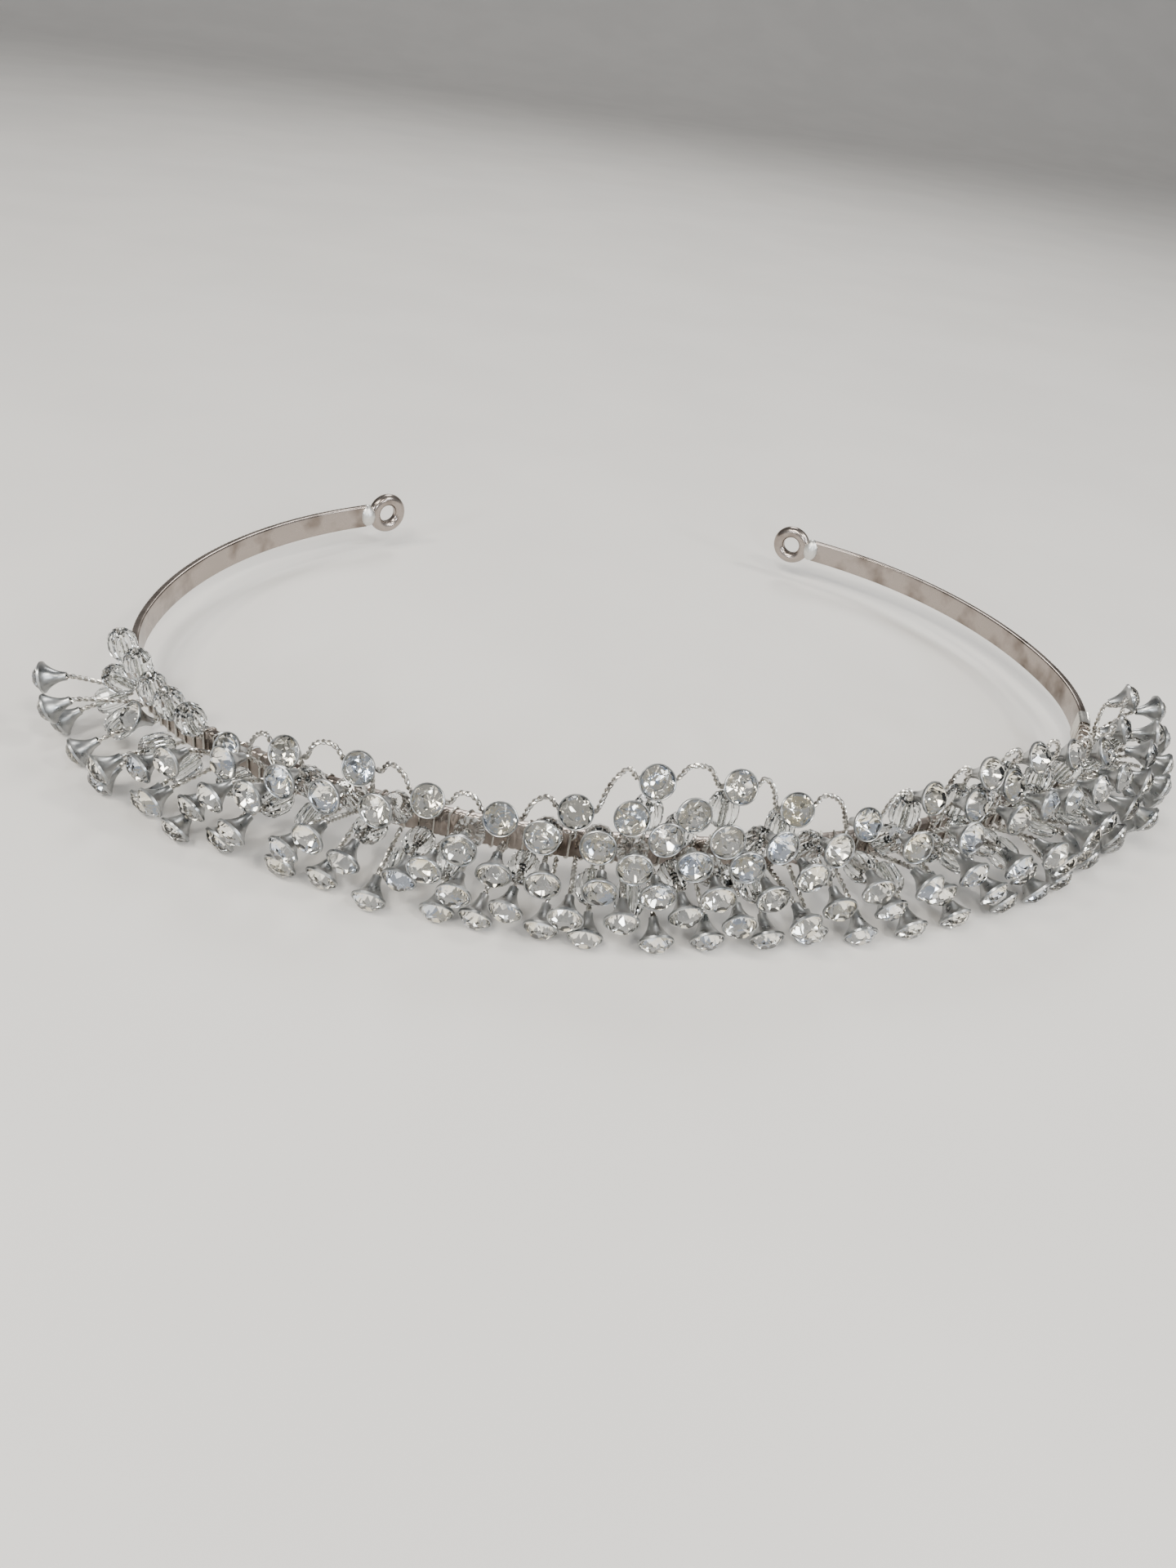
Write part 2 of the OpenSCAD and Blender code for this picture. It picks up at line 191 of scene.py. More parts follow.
def two_tone(tree, shader, first, second, size_mm, low, high):
    """Noise of a real size that mixes two colours into the shader's base."""
    place = add(tree, "ShaderNodeTexCoord")
    noise = add(tree, "ShaderNodeTexNoise", {"Scale": 1 / (size_mm * MM), "Detail": 3.0},
                {"Vector": place.outputs["Object"]})
    ramp = add(tree, "ShaderNodeValToRGB", links={"Fac": noise.outputs["Fac"]})
    ramp.color_ramp.elements[0].position = low
    ramp.color_ramp.elements[1].position = high
    ramp.color_ramp.elements[0].color = rgba(first)
    ramp.color_ramp.elements[1].color = rgba(second)
    tree.links.new(ramp.outputs["Color"], shader.inputs["Base Color"])
    return place, noise


def uneven_gloss(tree, shader, noise, smooth, rough):
    """Spreads the shader's roughness between two values over a noise's usual range."""
    low, high = 0.3, 0.7
    spread = add(tree, "ShaderNodeMapRange",
                 {"From Min": low, "From Max": high, "To Min": smooth, "To Max": rough},
                 {"Value": noise.outputs["Fac"]})
    tree.links.new(spread.outputs["Result"], shader.inputs["Roughness"])


def bump(tree, shader, height, strength, depth_mm):
    """Raises the surface by a height of a real depth."""
    node = add(tree, "ShaderNodeBump", {"Strength": strength, "Distance": depth_mm * MM},
               {"Height": height})
    tree.links.new(node.outputs["Normal"], shader.inputs["Normal"])


def silver_plate(colours):
    """Silver plate on rolled brass: bright, with long rolling lines and thin tarnish."""
    material, tree, shader = new_material("silver_plate_on_rolled_brass")
    shader.inputs["Metallic"].default_value = 1.0
    place, noise = two_tone(tree, shader, colours.tarnish, colours.silver, 6.0, 0.28, 0.52)
    uneven_gloss(tree, shader, noise, 0.16, 0.34)
    # Rolling lines run along the strip: long on the level and tight in height. Real ones are
    # finer, and these are drawn as coarse as they need to be to show.
    along, across = 1 / (6.667 * MM), 1 / (0.25 * MM)
    grain = add(tree, "ShaderNodeMapping", {"Scale": (along, along, across)},
                {"Vector": place.outputs["Object"]})
    lines = add(tree, "ShaderNodeTexNoise", {"Scale": 1.0, "Detail": 4.0},
                {"Vector": grain.outputs["Vector"]})
    bump(tree, shader, lines.outputs["Fac"], 0.25, 0.03)
    return material


def silvered_wire(colours):
    """Drawn copper wire with a silver coat: smooth, with a soft sheen."""
    material, tree, shader = new_material("silvered_drawn_wire")
    shader.inputs["Metallic"].default_value = 1.0
    _, noise = two_tone(tree, shader, colours.tarnish, colours.wire, 2.5, 0.22, 0.45)
    uneven_gloss(tree, shader, noise, 0.18, 0.32)
    return material


def pressed_cup(colours):
    """Pressed sheet cup with grey barrel plating: satin, with fine tumbling marks."""
    material, tree, shader = new_material("barrel_plated_pressed_sheet")
    shader.inputs["Metallic"].default_value = 1.0
    place, noise = two_tone(tree, shader, colours.cup_shade, colours.cup, 1.6, 0.3, 0.6)
    uneven_gloss(tree, shader, noise, 0.24, 0.42)
    marks = add(tree, "ShaderNodeTexNoise", {"Scale": 1 / (0.25 * MM), "Detail": 2.0},
                {"Vector": place.outputs["Object"]})
    bump(tree, shader, marks.outputs["Fac"], 0.2, 0.02)
    return material


def soft_solder(colours):
    """Soft solder, melted and set: dull white metal with a pitted skin."""
    material, tree, shader = new_material("set_soft_solder")
    shader.inputs["Metallic"].default_value = 1.0
    place, noise = two_tone(tree, shader, colours.cup, colours.solder, 0.9, 0.25, 0.5)
    uneven_gloss(tree, shader, noise, 0.3, 0.5)
    pits = add(tree, "ShaderNodeTexNoise", {"Scale": 1 / (0.35 * MM), "Detail": 3.0},
               {"Vector": place.outputs["Object"]})
    bump(tree, shader, pits.outputs["Fac"], 0.5, 0.06)
    return material


def cut_crystal(colours):
    """Machine-cut lead crystal: clear, with sharp polished facets and a high index."""
    material, tree, shader = new_material("cut_lead_crystal")
    shader.inputs["Base Color"].default_value = rgba(colours.crystal)
    shader.inputs["Roughness"].default_value = 0.0
    shader.inputs["IOR"].default_value = 1.58
    shader.inputs["Transmission Weight"].default_value = 1.0
    return material


def stone_foil(colours):
    """Vacuum-coated silver foil on the facets behind a stone: a mirror with faint casts."""
    material, tree, shader = new_material("vacuum_coated_foil")
    shader.inputs["Metallic"].default_value = 1.0
    shader.inputs["Roughness"].default_value = 0.06
    place = add(tree, "ShaderNodeTexCoord")
    # Patches of about a facet's width: few of them take a cool or a warm cast
    facet_width, cool_share, warm_from = 1.1 * MM, 0.16, 0.86
    patches = add(tree, "ShaderNodeTexVoronoi", {"Scale": 1 / facet_width},
                  {"Vector": place.outputs["Object"]})
    split = add(tree, "ShaderNodeSeparateColor", links={"Color": patches.outputs["Color"]})
    ramp = add(tree, "ShaderNodeValToRGB", links={"Fac": split.outputs["Red"]})
    ramp.color_ramp.interpolation = "CONSTANT"
    first, second = ramp.color_ramp.elements
    first.position, first.color = 0.0, rgba(colours.foil_cool)
    second.position, second.color = cool_share, rgba(colours.foil)
    last = ramp.color_ramp.elements.new(warm_from)
    last.color = rgba(colours.foil_warm)
    tree.links.new(ramp.outputs["Color"], shader.inputs["Base Color"])
    return material


def fluted_glass(colours):
    """Pressed clear glass, fire-polished: slightly soft edges and a faint haze."""
    material, tree, shader = new_material("fire_polished_pressed_glass")
    shader.inputs["Base Color"].default_value = rgba(colours.glass)
    shader.inputs["Roughness"].default_value = 0.03
    shader.inputs["IOR"].default_value = 1.52
    shader.inputs["Transmission Weight"].default_value = 1.0
    place = add(tree, "ShaderNodeTexCoord")
    ripple = add(tree, "ShaderNodeTexNoise", {"Scale": 1 / (0.8 * MM), "Detail": 1.0},
                 {"Vector": place.outputs["Object"]})
    bump(tree, shader, ripple.outputs["Fac"], 0.3, 0.03)
    return material


def pale_floor(colours):
    """Matt painted board: plain and pale, with a barely uneven coat."""
    material, tree, shader = new_material("matt_painted_board")
    shader.inputs["Roughness"].default_value = 0.7
    lift, patch_mm = 1.04, 60.0
    lighter = [min(1.0, lift * c) for c in colours.floor]
    two_tone(tree, shader, colours.floor, lighter, patch_mm, 0.4, 0.6)
    return material


def finish(name):
    """A material that the finishes operator has made."""
    return bpy.data.materials[name]


class TIARA_OT_finishes(bpy.types.Operator):
    """Makes the material of every kind of piece"""
    bl_idname = "tiara.finishes"
    bl_label = "Finishes"

    def execute(self, context):
        colours = context.scene.tiara_finishes
        for maker in (silver_plate, silvered_wire, pressed_cup, soft_solder, cut_crystal,
                      stone_foil, fluted_glass, pale_floor):
            maker(colours)
        return {"FINISHED"}


# ---------------------------------------------------------------- reading the frame

def solids(node):
    """The points of each separate solid of a CAD node."""
    weld = 0.0001 * MM
    work = bmesh.new()
    work.from_mesh(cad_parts[node].data)
    bmesh.ops.remove_doubles(work, verts=work.verts, dist=weld)
    work.verts.ensure_lookup_table()
    seen, found = set(), []
    for start in work.verts:
        if start.index in seen:
            continue
        seen.add(start.index)
        queue, island = [start], []
        while queue:
            vert = queue.pop()
            island.append(vert.co[:])
            for edge in vert.link_edges:
                other = edge.other_vert(vert)
                if other.index not in seen:
                    seen.add(other.index)
                    queue.append(other)
        found.append(np.array(island))
    work.free()
    return found


def turned_axis(points):
    """Centre and axis of a turned solid: the axis is the odd one of its three spreads."""
    centre = points.mean(axis=0)
    spreads, axes = np.linalg.eigh(np.cov((points - centre).T))
    odd = 0 if abs(spreads[1] - spreads[0]) > abs(spreads[2] - spreads[1]) else 2
    return centre, axes[:, odd]


def stone_place(points):
    """Centre of a stone's girdle plane and the way its table faces."""
    centre, axis = turned_axis(points)
    along = (points - centre) @ axis
    radius = np.linalg.norm(points - centre - np.outer(along, axis), axis=1)
    girdle = along[radius > 0.99 * radius.max()]
    if along.max() - girdle.mean() > girdle.mean() - along.min():
        axis, along, girdle = -axis, -along, -girdle
    return centre + axis * girdle.max(), axis


def stone_places(tier):
    """Place of every stone of a tier."""
    return [stone_place(points) for points in solids(tier + "_stones")]


def square_frame(axis, spin=0.0):
    """Rotation whose columns are two cross directions and the axis."""
    side = np.cross(UP, axis)
    if np.linalg.norm(side) < 1e-3:
        side = np.array([1.0, 0.0, 0.0])
    side /= np.linalg.norm(side)
    other = np.cross(axis, side)
    c, s = math.cos(spin), math.sin(spin)
    return np.column_stack((c * side + s * other, c * other - s * side, axis))


def face_outward(mesh):
    """Turns every closed skin of a mesh outward, and marks the creases of smooth ones."""
    crease = math.radians(35)
    work = bmesh.new()
    work.from_mesh(mesh)
    bmesh.ops.recalc_face_normals(work, faces=work.faces)
    for edge in work.edges:
        edge.smooth = edge.calc_face_angle(0.0) < crease
    work.to_mesh(mesh)
    work.free()


class Shape:
    """Vertices and faces gathered from many copies, each face with a material number."""

    def __init__(self):
        self.points, self.faces, self.slots, self.count = [], [], [], 0

    def add(self, points, faces, slots=0):
        self.points.append(np.asarray(points))
        self.faces += [[i + self.count for i in face] for face in faces]
        self.slots += [slots] * len(faces) if isinstance(slots, int) else list(slots)
        self.count += len(points)

    def piece(self, name, materials, smooth):
        mesh = bpy.data.meshes.new(name)
        mesh.from_pydata(np.concatenate(self.points).tolist(), [], self.faces)
        for material in materials:
            mesh.materials.append(material)
        mesh.polygons.foreach_set("material_index", self.slots)
        mesh.polygons.foreach_set("use_smooth", [smooth] * len(self.faces))
        mesh.update()
        face_outward(mesh)
        obj = bpy.data.objects.new(name, mesh)
        bpy.context.scene.collection.objects.link(obj)
        return obj


def ride_and_replace(piece, body, slot, *nodes):
    """Puts a piece on its body in place of CAD nodes, which it hides; the slot is not used."""
    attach(piece, body)
    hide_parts(*nodes)


def ring_faces(rows, sides, closed_ends=True):
    """Faces of a tube of rows of points: capped at both ends, or joined end to end."""
    faces = []
    for row in range(rows - 1 if closed_ends else rows):
        a, b = row * sides, (row + 1) % rows * sides
        faces += [[a + i, a + (i + 1) % sides, b + (i + 1) % sides, b + i]
                  for i in range(sides)]
    if closed_ends:
        faces += [list(range(sides)), [(rows - 1) * sides + i for i in range(sides)]]
    return faces


def circle(radius, height, count, turn=0.0):
    """Even points round the Z axis at one height."""
    angles = turn + np.arange(count) * 2 * math.pi / count
    return np.column_stack((radius * np.cos(angles), radius * np.sin(angles),
                            np.full(count, height)))


# ---------------------------------------------------------------- stones

MAIN_FACETS = 8
STAR_HEIGHT = 0.62
CRYSTAL, FOIL = 0, 1


def chaton(sizes):
    """A round chaton: octagonal table, star and main crown facets, and a pointed back."""
    radius, table = sizes.diameter / 2, sizes.table * sizes.diameter / 2
    half_step = math.pi / MAIN_FACETS
    rows = [
        circle(table, sizes.crown, MAIN_FACETS, half_step),
        circle((radius + table) / 2, STAR_HEIGHT * sizes.crown, MAIN_FACETS),
        circle(radius, 0.0, 2 * MAIN_FACETS),
        circle(radius, -sizes.girdle, 2 * MAIN_FACETS),
        np.array([[0.0, 0.0, -sizes.girdle - sizes.back]]),
    ]
    starts = np.cumsum([0] + [len(row) for row in rows])
    table_0, mid_0, top_0, low_0, point = (int(i) for i in starts[:5])
    n = MAIN_FACETS
    faces, slots = [[table_0 + i for i in range(n)]], [CRYSTAL]
    for i in range(n):
        left, right = (i - 1) % n, i
        # Table corner i lies between star points i and i + 1
        faces.append([table_0 + left, mid_0 + i, table_0 + right])
        faces.append([table_0 + i, mid_0 + i, top_0 + (2 * i + 1) % (2 * n)])
        faces.append([table_0 + i, top_0 + (2 * i + 1) % (2 * n), mid_0 + (i + 1) % n])
        faces.append([mid_0 + i, top_0 + 2 * i, top_0 + 2 * i + 1])
        faces.append([mid_0 + i, top_0 + (2 * i - 1) % (2 * n), top_0 + 2 * i])
        slots += [CRYSTAL] * 5
    for i in range(2 * n):
        j = (i + 1) % (2 * n)
        faces.append([top_0 + i, low_0 + i, low_0 + j, top_0 + j])
        slots.append(CRYSTAL)
    for i in range(n):
        a, b, c = 2 * i, 2 * i + 1, (2 * i + 2) % (2 * n)
        faces += [[low_0 + a, point, low_0 + c], [low_0 + a, low_0 + c, low_0 + b]]
        slots += [FOIL, FOIL]
    return np.concatenate(rows), faces, slots


class TIARA_OT_stones(bpy.types.Operator):
    """Cuts the foil-backed stones of every tier"""
    bl_idname = "tiara.stones"
    bl_label = "Stones"

    def execute(self, context):
        points, faces, slots = chaton(context.scene.tiara_stone)
        materials = [finish("cut_lead_crystal"), finish("vacuum_coated_foil")]
        draw = np.random.RandomState(11)
        for tier in TIERS:
            shape = Shape()
            for centre, facing in stone_places(tier):
                turn = square_frame(facing, draw.uniform(0, math.pi))
                shape.add(points @ turn.T + centre, faces, slots)
            piece = shape.piece(tier + "_chatons", materials, False)
            ride_and_replace(piece, FRONT, "rhinestone", tier + "_stones")
        return {"FINISHED"}


# ---------------------------------------------------------------- cups

CUP_SIDES = 24


def trumpet(sizes):
    """A flared cup: outer skin from rim to tail, and inner skin back up to the seat."""
    rim, tail, wall = sizes.cup_rim, sizes.cup_tail, sizes.cup_wall
    seat, lip, rim_step, bore = 0.35 * MM, 0.05 * MM, 0.12 * MM, 0.4 * MM
    outer_fold, outer_edge, inner_fold, inner_edge = 0.07 * MM, 0.04 * MM, 0.04 * MM, 0.05 * MM
    depths = np.linspace(seat, sizes.cup_length, 7)
    shares = (sizes.cup_length - depths) / (sizes.cup_length - seat)
    flare = tail + (rim - rim_step - tail) * shares ** 2
    outer = [(rim - wall / 2, lip), (rim, lip - outer_fold), (rim, -seat + outer_edge)]
    outer += [(r, -d) for r, d in zip(flare, depths)]
    inner = [(max(r - wall, bore), -d) for r, d in zip(flare[::-1], depths[::-1])]
    inner += [(rim - wall, -seat + inner_edge), (rim - wall, lip - inner_fold)]
    rows = [circle(r, z, CUP_SIDES) for r, z in outer + inner]
    return np.concatenate(rows), ring_faces(len(rows), CUP_SIDES, closed_ends=False)


class TIARA_OT_cups(bpy.types.Operator):
    """Presses the trumpet cups that hold the stones"""
    bl_idname = "tiara.cups"
    bl_label = "Cups"

    def execute(self, context):
        points, faces = trumpet(context.scene.tiara_stone)
        for tier in TIERS:
            shape = Shape()
            for centre, facing in stone_places(tier):
                shape.add(points @ square_frame(facing).T + centre, faces)
            piece = shape.piece(tier + "_trumpet_cups",
                                [finish("barrel_plated_pressed_sheet")], True)
            ride_and_replace(piece, FRONT, "cup_plate", tier + "_cups")
        return {"FINISHED"}


# ---------------------------------------------------------------- beads

def fluted_bead(sizes):
    """A barrel with sharp ridges between hollow flutes, and a bore right through."""
    radius, half, bore = sizes.diameter / 2, sizes.bead_length / 2, sizes.bore
    around = 2 * sizes.flutes
    flute_share = 0.94
    # Barrel from end to middle, as (height, width) shares, and the same way back
    lower = [(-1.0, 0.56), (-0.86, 0.74), (-0.5, 0.96)]
    upper = [(-height, width) for height, width in reversed(lower)]
    rows = []
    for height, width in [*lower, (0.0, 1.0), *upper]:
        row = circle(radius * width, half * height, around)
        row[1::2, :2] *= flute_share
        rows.append(row)
    rows.append(circle(bore, half, around))
    rows.append(circle(bore, -half, around))
    return np.concatenate(rows), ring_faces(len(rows), around, closed_ends=False)


class TIARA_OT_beads(bpy.types.Operator):
    """Threads the fluted glass beads on their stems"""
    bl_idname = "tiara.beads"
    bl_label = "Beads"

    def execute(self, context):
        points, faces = fluted_bead(context.scene.tiara_bead)
        draw = np.random.RandomState(5)
        for tier in (*TIERS, FILLER):
            shape = Shape()
            for solid in solids(tier + "_beads"):
                centre, axis = turned_axis(solid)
                turn = square_frame(axis, draw.uniform(0, math.pi))
                shape.add(points @ turn.T + centre, faces)
            piece = shape.piece(tier + "_fluted_beads",
                                [finish("fire_polished_pressed_glass")], False)
            ride_and_replace(piece, FRONT, "fluted_glass", tier + "_beads")
        return {"FINISHED"}


# ---------------------------------------------------------------- wires

STRAND_SIDES = 6
STEPS_PER_TURN = 9
STRAND_TOUCH = 0.92


def resampled(path, spacing):
    """Even points along a polyline."""
    path = np.asarray(path)
    walked = np.concatenate(([0], np.cumsum(np.linalg.norm(np.diff(path, axis=0), axis=1))))
    count = max(3, int(walked[-1] / spacing) + 1)
    at = np.linspace(0, walked[-1], count)
    return np.column_stack([np.interp(at, walked, path[:, k]) for k in range(3)]), at


def rounded(path, rounds=2):
    """Cuts the corners of a polyline, so that it bends like wire."""
    path = np.asarray(path)
    for _ in range(rounds):
        inner = np.column_stack((0.75 * path[:-1] + 0.25 * path[1:],
                                 0.25 * path[:-1] + 0.75 * path[1:])).reshape(-1, 3)
        path = np.vstack((path[:1], inner[1:-1], path[-1:]))
    return path


def side_frames(path):
    """Tangents of a path and two cross directions that don't twist along it."""
    tangents = np.gradient(path, axis=0)
    tangents /= np.linalg.norm(tangents, axis=1)[:, None]
    side = np.cross(tangents[0], UP)
    if np.linalg.norm(side) < 1e-3:
        side = np.cross(tangents[0], [1.0, 0.0, 0.0])
    sides = []
    for tangent in tangents:
        side = side - tangent * (side @ tangent)
        side = side / np.linalg.norm(side)
        sides.append(side)
    sides = np.array(sides)
    return sides, np.cross(tangents, sides)


def add_tube(shape, path, radius, sides=STRAND_SIDES):
    """A round tube along a path, closed at both ends."""
    across, over = side_frames(path)
    angles = np.arange(sides) * 2 * math.pi / sides
    rows = (path[:, None, :] + radius * (np.cos(angles)[None, :, None] * across[:, None, :]
            + np.sin(angles)[None, :, None] * over[:, None, :]))
    shape.add(rows.reshape(-1, 3), ring_faces(len(path), sides))


def add_twisted_pair(shape, path, wire, phase=0.0):
    """Two strands laid round each other along a path."""
    points, walked = resampled(path, wire.lay / STEPS_PER_TURN)
    across, over = side_frames(points)
    for strand in (0.0, math.pi):
        turn = 2 * math.pi * walked / wire.lay + phase + strand
        offset = np.cos(turn)[:, None] * across + np.sin(turn)[:, None] * over
        add_tube(shape, points + STRAND_TOUCH * wire.strand * offset, wire.strand)


def stem_root(points, bend):
    """Centre of the stem's flat end on the strip: the points farthest from its bend."""
    slack = 0.02 * MM
    far = np.linalg.norm(points - bend, axis=1)
    return points[far > far.max() - slack].mean(axis=0)


class TIARA_OT_stems(bpy.types.Operator):
    """Twists a stem of wire pair for every cup"""
    bl_idname = "tiara.stems"
    bl_label = "Stems"

    def execute(self, context):
        stone, wire = context.scene.tiara_stone, context.scene.tiara_wire
        draw = np.random.RandomState(3)
        for tier in (*TIERS, FILLER):
            paths = rod_paths(tier) if tier == FILLER else stem_paths(tier, stone)
            shape = Shape()
            for path in paths:
                add_twisted_pair(shape, path, wire, draw.uniform(0, math.pi))
            piece = shape.piece(tier + "_twisted_stems", [finish("silvered_drawn_wire")], True)
            ride_and_replace(piece, FRONT, "silvered_wire", tier + "_stems")
        return {"FINISHED"}


def stem_paths(tier, stone):
    """Path of each cup's stem, from the strip over its bend into the cup's tail."""
    bend_run, inside = 0.8 * MM, 0.8 * MM
    wires = solids(tier + "_stems")
    paths = []
    for centre, facing in stone_places(tier):
        tail = centre - stone.cup_length * facing
        bend = tail - bend_run * facing
        nearest = min(wires, key=lambda points: np.linalg.norm(points - tail, axis=1).min())
        paths.append(rounded([stem_root(nearest, bend), bend, tail + inside * facing]))
    return paths


def rod_paths(tier):
    """Path of each straight stem, from one end of its CAD solid to the other."""
    paths = []
    for points in solids(tier + "_stems"):
        centre, axis = turned_axis(points)
        along = (points - centre) @ axis
        paths.append([centre + along.min() * axis, centre + along.max() * axis])
    return paths


class TIARA_OT_garland_wire(bpy.types.Operator):
    """Bends the twisted arches that join the garland's cups"""
    bl_idname = "tiara.garland_wire"
    bl_label = "Garland wire"

    def execute(self, context):
        stone, wire = context.scene.tiara_stone, context.scene.tiara_wire
        strip = Strip(context.scene.tiara_headband)
        places = sorted(stone_places("garland"), key=lambda place: strip.station(place[0]))
        shape = Shape()
        side_reach, foot_reach, behind = 2.45 * MM, 0.95 * MM, 1.2 * MM
        shortest, longest, least_rise, shoulder = 1.8 * MM, 8.6 * MM, 0.85 * MM, 0.22
        for (centre_a, facing_a), (centre_b, facing_b) in zip(places, places[1:]):
            way = centre_b - centre_a
            way[2] = 0
            way /= np.linalg.norm(way)
            top_a = centre_a - behind * facing_a + side_reach * way
            top_b = centre_b - behind * facing_b - side_reach * way
            if not shortest < np.linalg.norm(top_b - top_a) < longest:
                continue
            foot_a = centre_a - stone.cup_length * facing_a + foot_reach * way
            foot_b = centre_b - stone.cup_length * facing_b - foot_reach * way
            span = top_b - top_a
            rise = (least_rise + wire.arch_rise * np.linalg.norm(span)) * UP
            path = [foot_a, top_a, top_a + shoulder * span + rise,
                    top_b - shoulder * span + rise, top_b, foot_b]
            add_twisted_pair(shape, rounded(path, 3), wire)
        piece = shape.piece("garland_twisted_wire", [finish("silvered_drawn_wire")], True)
        ride_and_replace(piece, FRONT, "silvered_wire", "garland_wire")
        return {"FINISHED"}


# ---------------------------------------------------------------- headband

class Strip:
    """Centre line of the strip: three arcs a side, from the front centre that the frame gives."""

    def __init__(self, sizes):
        low, high = (np.array(corner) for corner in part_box("front_band"))
        self.half_height = (high[2] - low[2]) / 2
        self.half_thickness = sizes.thickness / 2
        self.front = np.array([0.0, low[1] + self.half_thickness, (low[2] + high[2]) / 2])
        self.arcs = ((sizes.front_radius, sizes.front_turn),
                     (sizes.temple_radius, sizes.temple_turn),
                     (sizes.arm_radius, sizes.arm_turn))
        self.half_length = sum(radius * turn for radius, turn in self.arcs)

    def at(self, s):
        """Point at length s from the front centre, the way along and the way outward."""
        side, left = math.copysign(1.0, s), abs(s)
        x = y = heading = 0.0
        for radius, turn in self.arcs:
            step = min(left / radius, turn)
            x += radius * (math.sin(heading + step) - math.sin(heading))
            y += radius * (math.cos(heading) - math.cos(heading + step))
            heading += step
            left -= step * radius
        along = np.array([math.cos(heading), side * math.sin(heading), 0.0])
        outward = np.array([side * math.sin(heading), -math.cos(heading), 0.0])
        return self.front + [side * x, y, 0.0], along, outward

    def station(self, point):
        """Length along the strip of the place nearest to a point."""
        stations = np.linspace(-self.half_length, self.half_length, 400)
        gaps = [np.linalg.norm((self.at(s)[0] - point)[:2]) for s in stations]
        return stations[int(np.argmin(gaps))]


def strip_section(half_thickness, half_height, corner):
    """Rounded outline of the strip as [outward, height, share of a milled notch]."""
    outline, steps = [], 4
    for cx, cz, start in ((1, -1, -90), (1, 1, 0), (-1, 1, 90), (-1, -1, 180)):
        for k in range(steps + 1):
            angle = math.radians(start + 90 * k / steps)
            share = math.sin(math.pi * k / steps) if cx > 0 else 0.0
            outline.append((cx * (half_thickness - corner) + corner * math.cos(angle),
                            cz * (half_height - corner) + corner * math.sin(angle), share))
    return np.array(outline)


class TIARA_OT_headband(bpy.types.Operator):
    """Rolls the two halves of the strip, with milled notches along the outer edges"""
    bl_idname = "tiara.headband"
    bl_label = "Headband"

    def execute(self, context):
        band = context.scene.tiara_headband
        strip = Strip(band)
        section = strip_section(strip.half_thickness, strip.half_height, band.corner)
        steps_per_notch, off_centre = 6, 1e-6 * MM
        stations = np.linspace(0, strip.half_length,
                               int(strip.half_length * steps_per_notch / band.notch_pitch))
        for side, name, body in ((-1, "left_headband_strip", "left_arm"),
                                 (1, "right_headband_strip", "right_arm")):
            shape = Shape()
            rows = []
            for s in stations:
                point, _, outward = strip.at(side * max(s, off_centre))
                wave = math.cos(2 * math.pi * s / band.notch_pitch)
                shrink = band.notch_depth * max(0.0, wave) ** 2 * section[:, 2]
                rows.append(point + np.outer(section[:, 0] - shrink, outward)
                            + np.outer(section[:, 1] - np.sign(section[:, 1]) * shrink, UP))
            shape.add(np.concatenate(rows), ring_faces(len(rows), len(section)))
            piece = shape.piece(name, [finish("silver_plate_on_rolled_brass")], True)
            start, end = (strip.at(side * s)[0] for s in (band.flex_start, band.flex_end))
            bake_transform(piece)
            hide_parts("front_band", body)
        return {"FINISHED"}


class TIARA_OT_binding(bpy.types.Operator):
    """Coils the binding wire round the wired half of the strip"""
    bl_idname = "tiara.binding"
    bl_label = "Binding wire"

    def execute(self, context):
        band, wire = context.scene.tiara_headband, context.scene.tiara_wire
        strip = Strip(band)
        # Turns lie side by side near the ends of the wired length, and open between them
        tight, tight_run, end = 2.1 * wire.binding, 5 * MM, 87 * MM
        path, s = [], -end
        section = strip_section(strip.half_thickness + wire.binding,
                                strip.half_height + wire.binding,
                                band.corner + wire.binding)[:, :2]
        while s < end:
            pitch = tight if end - abs(s) < tight_run else wire.binding_pitch
            for k, (out, height) in enumerate(section):
                point, _, outward = strip.at(s + pitch * k / len(section))
                path.append(point + out * outward + height * UP)
            s += pitch
        shape = Shape()
        add_tube(shape, np.array(path), wire.binding)
        piece = shape.piece("binding_wire_coil", [finish("silvered_drawn_wire")], True)
        ride_and_replace(piece, FRONT, "silvered_wire", "binding_wire")
        return {"FINISHED"}


# ---------------------------------------------------------------- end rings and solder

